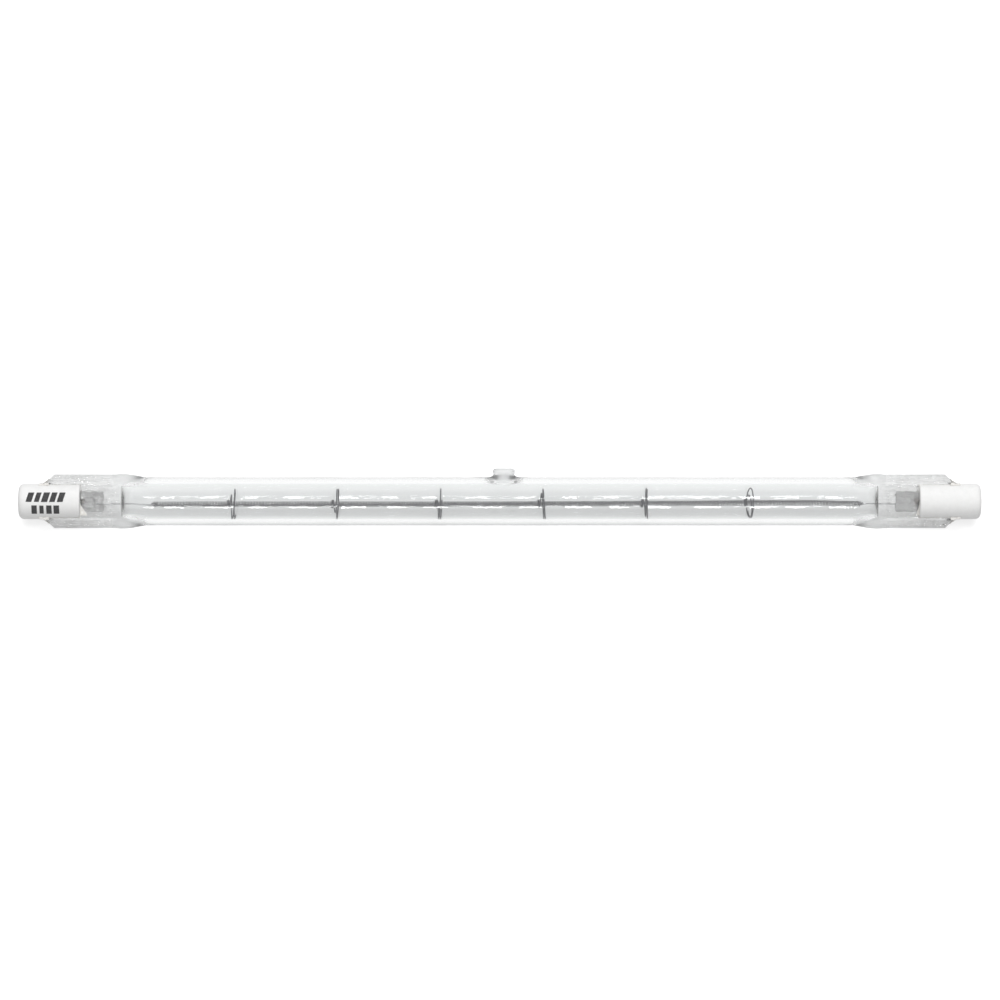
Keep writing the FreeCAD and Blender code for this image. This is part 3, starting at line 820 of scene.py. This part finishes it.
# %% Support rings
RING_FIRST, RING_LAST = -52.21, 49.2
GRIP_TURNS, GRIP_PITCH, GRIP_RADIUS = 1.75, 0.27, 0.75
OPEN_TURNS, OPEN_PITCH = 0.5, 1.0
LOOP_TURNS, LOOP_RADIUS = 1.3, 2.93
RING_WIRE, RING_STEPS, RING_SIDES = 0.12, 110, 8
RING_LOOKS = [
    {"Tilt": 0.068, "Phase": 0.05, "Loop pitch": 0.5},
    {"Tilt": 0.030, "Phase": 0.55, "Loop pitch": 0.3},
    {"Tilt": 0.045, "Phase": 0.25, "Loop pitch": 0.35},
    {"Tilt": -0.075, "Phase": 0.0, "Loop pitch": 0.3},
    {"Tilt": -0.026, "Phase": 0.4, "Loop pitch": 0.25},
    {"Tilt": 0.02, "Phase": 0.1, "Loop pitch": 0.2, "Yaw": 0.22},
]


def ring_tree():
    """One support: grip, opening and loop along one curve."""
    tree, given = geometry_tree("support ring", {
        "Start": 0.0, "Phase": 0.0, "Tilt": 0.0, "Yaw": 0.0, "Loop pitch": 0.45, "Grip radius": GRIP_RADIUS,
        "Loop radius": LOOP_RADIUS, "Wire radius": RING_WIRE * MM, "Points": RING_STEPS})
    share = new_node(tree, "GeometryNodeSplineParameter").outputs["Factor"]
    turn = times(tree, share, GRIP_TURNS + OPEN_TURNS + LOOP_TURNS)
    gripped = maths(tree, "MINIMUM", turn, GRIP_TURNS)
    past_grip = maths(tree, "MAXIMUM", maths(tree, "SUBTRACT", turn, GRIP_TURNS), 0.0)
    opened = maths(tree, "MINIMUM", past_grip, OPEN_TURNS)
    looped = maths(tree, "MAXIMUM", maths(tree, "SUBTRACT", turn, GRIP_TURNS + OPEN_TURNS), 0.0)
    x = maths(tree, "MULTIPLY_ADD", gripped, GRIP_PITCH, given["Start"])
    x = maths(tree, "MULTIPLY_ADD", opened, OPEN_PITCH, x)
    x = plus(tree, x, times(tree, looped, given["Loop pitch"]))
    radius = mapped(tree, opened, 0.0, OPEN_TURNS, given["Grip radius"], given["Loop radius"], "SMOOTHSTEP")
    phased = plus(tree, turn, given["Phase"])
    across, above = on_circle(tree, radius, times(tree, phased, 2 * math.pi))
    opening = maths(tree, "DIVIDE", maths(tree, "SUBTRACT", radius, given["Grip radius"]), LOOP_RADIUS)
    askew = maths(tree, "MULTIPLY_ADD", across, given["Tilt"], times(tree, above, given["Yaw"]))
    place = spiral_place(tree, x, radius, phased, times(tree, askew, opening))
    return wire_along(tree, given, place, RING_SIDES)


support_tree = ring_tree()
ring_wire = drawn("support_wire", (0.24, 0.24, 0.25), (0.1, 0.1, 0.105), 0.8, 0.06, 0.006)
before_loop = GRIP_TURNS * GRIP_PITCH + OPEN_TURNS * OPEN_PITCH
for number, look in enumerate(RING_LOOKS):
    middle = RING_FIRST + (RING_LAST - RING_FIRST) * number / (len(RING_LOOKS) - 1)
    start = middle - before_loop - LOOP_TURNS * look["Loop pitch"] / 2
    ring = run_tree(support_tree, f"support_wire_{number + 1}", {**look, "Start": start}, ring_wire)
    finish_piece(ring, "tungsten", None, [f"support_ring_{number + 1}"])

# %% [markdown]
# ## Leads and foils
# Quartz hardly expands with heat and metal does, so no wire can pass through the seal. The current crosses it
# in a foil as thin as a hair instead. The inner lead is welded on one end of the foil and screwed into the
# coil; the outer lead is welded on the other end. The leads are curves with a round bevel, made into meshes.

# %% Leads
LEAD_RADIUS, LEAD_Y, LEAD_Z = 0.125, -0.5, 0.165
LEAD_MARKS = (79.4, 78.2, 76.8, 75.2, 73.6)
LEAD_LEVEL_END, LEAD_STEP = 71.9, 0.02
BEVEL_ROUNDS, CURVE_STEPS = 2, 4
SCREW_TURNS, SCREW_STEPS, SCREW_PITCH, SCREW_RADIUS, SCREW_OVERHANG = 4, 10, 0.33, 0.25, 0.5
COIL_ENDS = {"left": COIL_START, "right": COIL_END}


def round_wire(name, points, radius):
    """A mesh tube along a smooth curve through control points in millimetres."""
    data = bpy.data.curves.new(name, "CURVE")
    data.dimensions = "3D"
    data.bevel_depth = radius * MM
    data.bevel_resolution = BEVEL_ROUNDS
    data.use_fill_caps = True
    data.resolution_u = CURVE_STEPS
    line = data.splines.new("NURBS")
    line.points.add(len(points) - 1)
    for dot, point in zip(line.points, points):
        dot.co = (*(v * MM for v in point), 1.0)
    line.order_u = 3
    line.use_endpoint_u = True
    made = baked(link_object(name, data), name)
    made.data.shade_smooth()
    return made


def lead_points(side):
    """From the weld on the foil, level to the coil's end, then a screw inside the coil."""
    way = SIDES[side]
    height = -way * LEAD_Z
    near = COIL_ENDS[side] + way * SCREW_OVERHANG
    points = [(way * x, LEAD_Y, height) for x in LEAD_MARKS]
    points.append((way * LEAD_LEVEL_END, LEAD_Y + LEAD_STEP, height))
    for step in range(1, SCREW_TURNS * SCREW_STEPS + 1):
        turn = 2 * math.pi * step / SCREW_STEPS
        x = near - way * SCREW_PITCH * step / SCREW_STEPS
        y = COIL_AXIS_Y + bow_at(x) - SCREW_RADIUS * math.cos(turn)
        points.append((x, y, -way * SCREW_RADIUS * math.sin(turn)))
    return points


lead_wire = drawn("lead_wire", (0.5, 0.5, 0.51), (0.26, 0.26, 0.27), 1.5, 0.04, 0.006)
for side in SIDES:
    lead = round_wire(f"inner_lead_wire_{side}", lead_points(side), LEAD_RADIUS)
    finish_piece(lead, "tungsten", lead_wire, [f"inner_lead_{side}"])

# %% [markdown]
# The foil is a thin sheet that buckled while the hot quartz closed on it. A sheet of points is moved by a few
# crossing waves and some noise, and gets its thickness from Solidify.

# %% Foils
FOIL_START, FOIL_END, FOIL_HALF_WIDTH, FOIL_THICKNESS = 77.8, 86.2, 2.0, 0.03
FOIL_COLUMNS, FOIL_ROWS = 84, 40
FOIL_BUCKLE, FOIL_SEEDS = 0.07, {"left": 11, "right": 14}
FOLD_X, FOLD_Y, FOLD_SHARE = 2.1, 0.9, 0.35
FOIL_WAVES = [(1.1, 0.7, 0, 0.9), (0.45, 0.35, 3, 0.35)]
FOIL_EDGE_FADE, FOIL_EDGE_SHARE = 0.5, 0.3
FOIL_RAGGED, RAGGED_LENGTH, RAGGED_SEED = 0.05, 1.3, 5


def foil_height(x, y, seed):
    """How far the foil buckles at a place: long folds and waves of two sizes, flatter towards its sides."""
    buckle = math.sin(FOLD_X * x + FOLD_Y * y + seed) * FOLD_SHARE
    for length, width, after, share in FOIL_WAVES:
        buckle += wave(x / length, y / width, 0, seed + after) * share
    edge = eased((FOIL_HALF_WIDTH - abs(y)) / FOIL_EDGE_FADE)
    return FOIL_BUCKLE * buckle * (FOIL_EDGE_SHARE + (1 - FOIL_EDGE_SHARE) * edge)


def foil_sheet(side):
    """The buckled foil of one end."""
    way, seed = SIDES[side], FOIL_SEEDS[side]
    points, faces = [], []
    for i in range(FOIL_COLUMNS + 1):
        for j in range(FOIL_ROWS + 1):
            x = FOIL_START + (FOIL_END - FOIL_START) * i / FOIL_COLUMNS
            y = FOIL_HALF_WIDTH * (2 * j / FOIL_ROWS - 1)
            ragged = FOIL_RAGGED * wave(x / RAGGED_LENGTH, y, 0, seed + RAGGED_SEED) * abs(y) / FOIL_HALF_WIDTH
            points.append((way * x, y + ragged, foil_height(x, y, seed)))
    row = FOIL_ROWS + 1
    for i in range(FOIL_COLUMNS):
        for j in range(FOIL_ROWS):
            corner = i * row + j
            faces.append((corner, corner + 1, corner + row + 1, corner + row))
    sheet = mesh_object(f"foil_sheet_{side}", points, faces)
    wall = sheet.modifiers.new("thickness", "SOLIDIFY")
    wall.thickness = FOIL_THICKNESS * MM
    wall.offset = 0.0
    made = baked(sheet, f"foil_sheet_{side}")
    made.data.shade_smooth()
    return made


foil_finish = drawn("molybdenum_foil", (0.42, 0.42, 0.42), (0.26, 0.26, 0.26), 2.5, 0.12, 0.01, 0.7)
for side in SIDES:
    finish_piece(foil_sheet(side), "molybdenum_foil", foil_finish, [f"sealing_foil_{side}"])

# %% [markdown]
# The outer leads and the contacts keep their CAD shapes: the lead is hidden inside the cap but for its welded
# end, and the contact is a small turned disc. A copy with its triangles joined shades them smoothly.

# %% Outer leads and contacts
outer_wire = drawn("outer_lead_wire", (0.36, 0.35, 0.34), (0.16, 0.155, 0.15), 1.2, 0.07, 0.01)
contact_nickel = grained(
    "nickel_contact", (0.78, 0.76, 0.72), (0.6, 0.58, 0.54), (0.4, 0.38, 0.35), size=0.5, speck_share=0.08,
    rough=(0.22, 0.42), bump=0.006, metallic=1.0)
KEPT_SHAPES = [
    ("outer_lead", "outer_lead_wire", "molybdenum_wire", outer_wire),
    ("contact_button", "contact_disc", "nickel_contact", contact_nickel),
]
for side in SIDES:
    for node, name, slot, finish in KEPT_SHAPES:
        finish_piece(merged_copy(f"{node}_{side}", f"{name}_{side}"), slot, finish, [f"{node}_{side}"])

# %% [markdown]
# ## Ceramic caps
# Each cap is pressed and fired steatite: matt, off-white, with soft edges and fine pores. Firing rounds every
# edge a little, also inside corners. A voxel remesh of the CAD shape gives it even faces, and a few rounds of
# smoothing then soften all its edges at once, which a bevel can't do where a thin ear meets the barrel.


# %% Caps
CAP_VOXEL, CAP_SMOOTHING_ROUNDS, CAP_SMOOTHING, CRISP_CAP_EDGE = 0.13, 5, 0.5, 60
ceramic = grained(
    "fired_ceramic", (0.85, 0.85, 0.845), (0.8, 0.8, 0.795), (0.66, 0.655, 0.64), size=1.1, speck_share=0.05,
    rough=(0.55, 0.8), bump=0.02)


def remeshed(node, name, voxel):
    """A CAD node's shape with even faces."""
    made = merged_copy(node, name, CRISP_CAP_EDGE)
    remesh = made.modifiers.new("even", "REMESH")
    remesh.mode = "VOXEL"
    remesh.voxel_size = voxel * MM
    made = baked(made, name)
    made.data.shade_smooth()
    return made


def softened_cap(side):
    """The cap with all its edges slightly rounded."""
    cap = remeshed(f"ceramic_cap_{side}", f"cap_body_{side}", CAP_VOXEL)
    body = bmesh.new()
    body.from_mesh(cap.data)
    for _ in range(CAP_SMOOTHING_ROUNDS):
        bmesh.ops.smooth_vert(
            body, verts=body.verts, factor=CAP_SMOOTHING, use_axis_x=True, use_axis_y=True, use_axis_z=True)
    body.to_mesh(cap.data)
    body.free()
    return cap


for side in SIDES:
    finish_piece(softened_cap(side), "ceramic", ceramic, [f"ceramic_cap_{side}"])

# %% [markdown]
# The cement was pushed into the slot as a paste and dried: it fills the gap and stands in a rough wedge at the
# cap's mouth. A voxel remesh of the CAD shape gives even faces, which noise then roughens.

# %% Cement
CEMENT_VOXEL, CEMENT_ROUGHNESS = 0.07, 0.05
LUMP, CRUMB, CRUMB_SHARE, SUNKEN = 0.45, 0.2, 0.5, 0.5
CAP_MOUTH = 82.45
WEDGE_FROM, WEDGE_TO, WEDGE_LEAST = -0.5, -2.5, 0.05
cement_finish = grained(
    "dry_cement", (0.88, 0.87, 0.85), (0.68, 0.66, 0.62), (0.5, 0.48, 0.44), size=0.5, speck_share=0.1,
    rough=(0.8, 0.95), bump=0.05)


def rough_cement(side):
    """The cement's CAD shape with an uneven crust, whose lump narrows to a wedge across the mouth."""
    made = remeshed(f"cement_{side}", f"cement_crust_{side}", CEMENT_VOXEL)
    mesh = made.data
    way = SIDES[side]
    for vertex in mesh.vertices:
        p = vertex.co / MM
        beyond = CAP_MOUTH - abs(p.x)
        if beyond > 0:
            share = min(max((p.y - WEDGE_FROM) / (WEDGE_TO - WEDGE_FROM), WEDGE_LEAST), 1.0)
            vertex.co.x = way * (CAP_MOUTH - beyond * share) * MM
    moves = []
    for vertex in mesh.vertices:
        p = vertex.co / MM
        push = wave(p.x / LUMP, p.y / LUMP, p.z / LUMP, 21)
        push += CRUMB_SHARE * wave(p.x / CRUMB, p.y / CRUMB, p.z / CRUMB, 22)
        moves.append(vertex.co + vertex.normal * (push - SUNKEN) * CEMENT_ROUGHNESS * MM)
    for vertex, place in zip(mesh.vertices, moves):
        vertex.co = place
    return made


for side in SIDES:
    finish_piece(rough_cement(side), "cement", cement_finish, [f"cement_{side}"])

# %% [markdown]
# ## The stamp on the left cap
# The cap is printed with two rows of plain dark blocks in ink. A tree sets the blocks in a row, leans them, and
# wraps them round the barrel, a hair proud of the ceramic.

# %% Ink blocks
INK_RADIUS, INK_THICKNESS = 3.505, 0.02
INK_COLUMNS, INK_LINES = 4, 9
LEAST_BLOCK, MOST_BLOCK = (0.75, 0.94, 1.0), (1.1, 1.0, 1.0)
FIRST_INK_SEED = 3
INK_ROWS = [
    {"Start": -92.1, "Pitch": 1.53, "Blocks": 5, "Width": 1.2, "Height": 2.0, "Middle": 0.85, "Lean": 0.3},
    {"Start": -91.3, "Pitch": 1.45, "Blocks": 4, "Width": 1.05, "Height": 1.9, "Middle": -1.75, "Lean": 0.0},
]


def ink_tree():
    """A row of blocks wrapped round the cap's barrel."""
    tree, given = geometry_tree("ink blocks", {
        "Start": 0.0, "Pitch": 1.5, "Blocks": 5, "Width": 1.2, "Height": 2.0, "Middle": 0.0, "Lean": 0.0,
        "Barrel radius": INK_RADIUS, "Thickness": INK_THICKNESS, "Seed": FIRST_INK_SEED})
    size = xyz(tree, given["Width"], given["Height"], given["Thickness"])
    block = new_node(tree, "GeometryNodeMeshCube", {
        "Size": size, "Vertices X": INK_COLUMNS, "Vertices Y": INK_LINES}).outputs["Mesh"]
    line = new_node(tree, "GeometryNodeMeshLine", {
        "Count": given["Blocks"], "Start Location": xyz(tree, given["Start"], given["Middle"]),
        "Offset": xyz(tree, given["Pitch"])}).outputs[0]
    width = new_node(tree, "FunctionNodeRandomValue", {0: LEAST_BLOCK, 1: MOST_BLOCK, "Seed": given["Seed"]},
                     data_type="FLOAT_VECTOR").outputs[0]
    placed = new_node(tree, "GeometryNodeInstanceOnPoints", {
        "Points": line, "Instance": block, "Scale": width}).outputs[0]
    real = new_node(tree, "GeometryNodeRealizeInstances", {"Geometry": placed}).outputs[0]
    flat = parts_of(tree, new_node(tree, "GeometryNodeInputPosition").outputs[0])
    lean = times(tree, maths(tree, "SUBTRACT", flat["Y"], given["Middle"]), given["Lean"])
    angle = maths(tree, "DIVIDE", flat["Y"], given["Barrel radius"])
    above, across = on_circle(tree, plus(tree, given["Barrel radius"], flat["Z"]), angle)
    wrapped = in_metres(tree, xyz(tree, plus(tree, flat["X"], lean), across, above))
    moved = new_node(tree, "GeometryNodeSetPosition", {"Geometry": real, "Position": wrapped}).outputs[0]
    return end_tree(tree, given, moved)


ink = grained(
    "stamp_ink", (0.07, 0.07, 0.072), (0.025, 0.025, 0.026), (0.35, 0.35, 0.345), size=0.35, speck_share=0.1,
    rough=(0.6, 0.8), bump=0.01)
block_tree = ink_tree()
for number, row in enumerate(INK_ROWS):
    blocks = run_tree(block_tree, f"ink_row_{number + 1}", {**row, "Seed": FIRST_INK_SEED + number}, ink)
    finish_piece(blocks, "ceramic")

# %% [markdown]
# ## Floor and world
# The background is plain white. The floor and the world are white only for the camera and for what glass and
# metal show, so the light on the lamp stays at a plain level. The strip of floor under the lamp has a painted
# shadow, greyer across it, which the tube shows through its walls.

# %% Floor and world
FLOOR_Z, HALF_FLOOR = -REST_HEIGHT, 1500.0
FLOOR_TONE = 0.62
# Painted shadow: the floor's tone across the strip under the lamp, darkest under the tube towards -Y.
PAINTED_SHADOW_TONES = [(-7.0, 0.62), (-5.2, 0.52), (-4.2, 0.35), (-3.4, 0.28), (-2.5, 0.25), (-1.0, 0.4), (0.4, 0.47),
               (1.8, 0.48), (3.0, 0.52), (4.6, 0.56), (7.0, 0.62)]
PAINTED_SHADOW_ENDS = (93.0 * MM, 96.0 * MM)
FLOOR_GLOW = {"Is Camera Ray": 0.68, "Is Glossy Ray": 0.35, "Is Transmission Ray": 0.04}
FILL_STRENGTH = 0.44
WORLD_GLOW = {"Is Camera Ray": 1.0 - FILL_STRENGTH, "Is Glossy Ray": 0.3, "Is Transmission Ray": 0.3}


def weighted_rays(tree, weights, total=0.0):
    """A strength that depends on what kind of ray asks."""
    path = new_node(tree, "ShaderNodeLightPath").outputs
    for ray, weight in weights.items():
        total = maths(tree, "MULTIPLY_ADD", path[ray], weight, total)
    return total


def grey(tone):
    """A grey as a colour."""
    return (tone, tone, tone, 1)


def floor_material():
    """A pale diffuse floor that is white for the camera and keeps the lamp's shadow, with a painted shadow under
    the lamp.
    """
    material = bpy.data.materials.new("studio_floor")
    material.use_nodes = True
    tree = material.node_tree
    tree.nodes.remove(tree.nodes["Principled BSDF"])
    place = parts_of(tree, new_node(tree, "ShaderNodeTexCoord").outputs["Object"])
    low, high = PAINTED_SHADOW_TONES[0][0], PAINTED_SHADOW_TONES[-1][0]
    painted_shadow = new_node(tree, "ShaderNodeValToRGB", {"Fac": mapped(tree, place["Y"], low * MM, high * MM)})
    painted_shadow.color_ramp.interpolation = "EASE"
    stops = painted_shadow.color_ramp.elements
    for k, (y, tone) in enumerate(PAINTED_SHADOW_TONES):
        at_end = k in (0, len(PAINTED_SHADOW_TONES) - 1)
        stop = stops[0 if k == 0 else -1] if at_end else stops.new((y - low) / (high - low))
        stop.color = grey(tone)
    # The painted shadow fades out beyond the lamp's ends.
    beyond = mapped(tree, maths(tree, "ABSOLUTE", place["X"]), *PAINTED_SHADOW_ENDS)
    tone = mixed(tree, beyond, painted_shadow.outputs["Color"], grey(FLOOR_TONE))
    paper = new_node(tree, "ShaderNodeBsdfDiffuse", {"Color": tone}).outputs[0]
    glow = new_node(tree, "ShaderNodeEmission", {"Strength": weighted_rays(tree, FLOOR_GLOW)}).outputs[0]
    both = new_node(tree, "ShaderNodeAddShader", {0: paper, 1: glow}).outputs[0]
    link(tree, both, tree.nodes["Material Output"].inputs["Surface"])
    return material


floor_corners = [(x * HALF_FLOOR, y * HALF_FLOOR, FLOOR_Z) for x, y in ((-1, -1), (1, -1), (1, 1), (-1, 1))]
floor = mesh_object("floor", floor_corners, [(0, 1, 2, 3)])
floor.data.materials.append(floor_material())

world = bpy.data.worlds.new("studio")
world.use_nodes = True
bpy.context.scene.world = world
backdrop = world.node_tree.nodes["Background"]
backdrop.inputs["Color"].default_value = WHITE
link(world.node_tree, weighted_rays(world.node_tree, WORLD_GLOW, FILL_STRENGTH), backdrop.inputs["Strength"])
print("floor at", FLOOR_Z, "mm; fill light:", FILL_STRENGTH)

# %% [markdown]
# ## Lamps
# One large key lamp lights everything softly. Two rows of small strips over the lamp draw the white dashes
# along the tube: each dash is the mirror image of one strip in the curved quartz.

# %% Lamps
KEY_SIZE, KEY_WATTS, KEY_PLACE = 0.9, 12.5, Vector((0.1, 1.0, 1.05))
STRIP_COUNT, STRIP_PITCH, STRIP_DEPTH, STRIP_RADIANCE = 22, 17.5 * MM, 110 * MM, 22.0
STRIP_ROWS = [
    {"name": "upper", "lean": 18.0, "width": 6 * MM, "shift": 0.0},
    {"name": "lower", "lean": -29.0, "width": 9 * MM, "shift": 3.0 * MM},
]


def area_lamp(name, place, size, watts, target=Vector((0, 0, 0))):
    """A rectangular lamp aimed at a point."""
    data = bpy.data.lights.new(name, "AREA")
    data.shape = "RECTANGLE"
    data.size, data.size_y = size
    data.energy = watts
    lamp = link_object(name, data)
    lamp.location = place
    lamp.rotation_euler = (target - place).to_track_quat("-Z", "Y").to_euler()
    return lamp


key = area_lamp("key", KEY_PLACE, (KEY_SIZE, KEY_SIZE), KEY_WATTS)
key.visible_glossy = False
key.visible_transmission = False
for row in STRIP_ROWS:
    lean = math.radians(row["lean"])
    watts = STRIP_RADIANCE * math.pi * row["width"] * STRIP_DEPTH
    for number in range(STRIP_COUNT):
        x = (number - (STRIP_COUNT - 1) / 2) * STRIP_PITCH + row["shift"]
        place = Vector((x, camera_height * math.sin(lean), camera_height * math.cos(lean)))
        area_lamp(f"{row['name']}_strip_{number + 1}", place, (row["width"], STRIP_DEPTH), watts, Vector((x, 0, 0)))
print("lamps:", 1 + STRIP_COUNT * len(STRIP_ROWS))
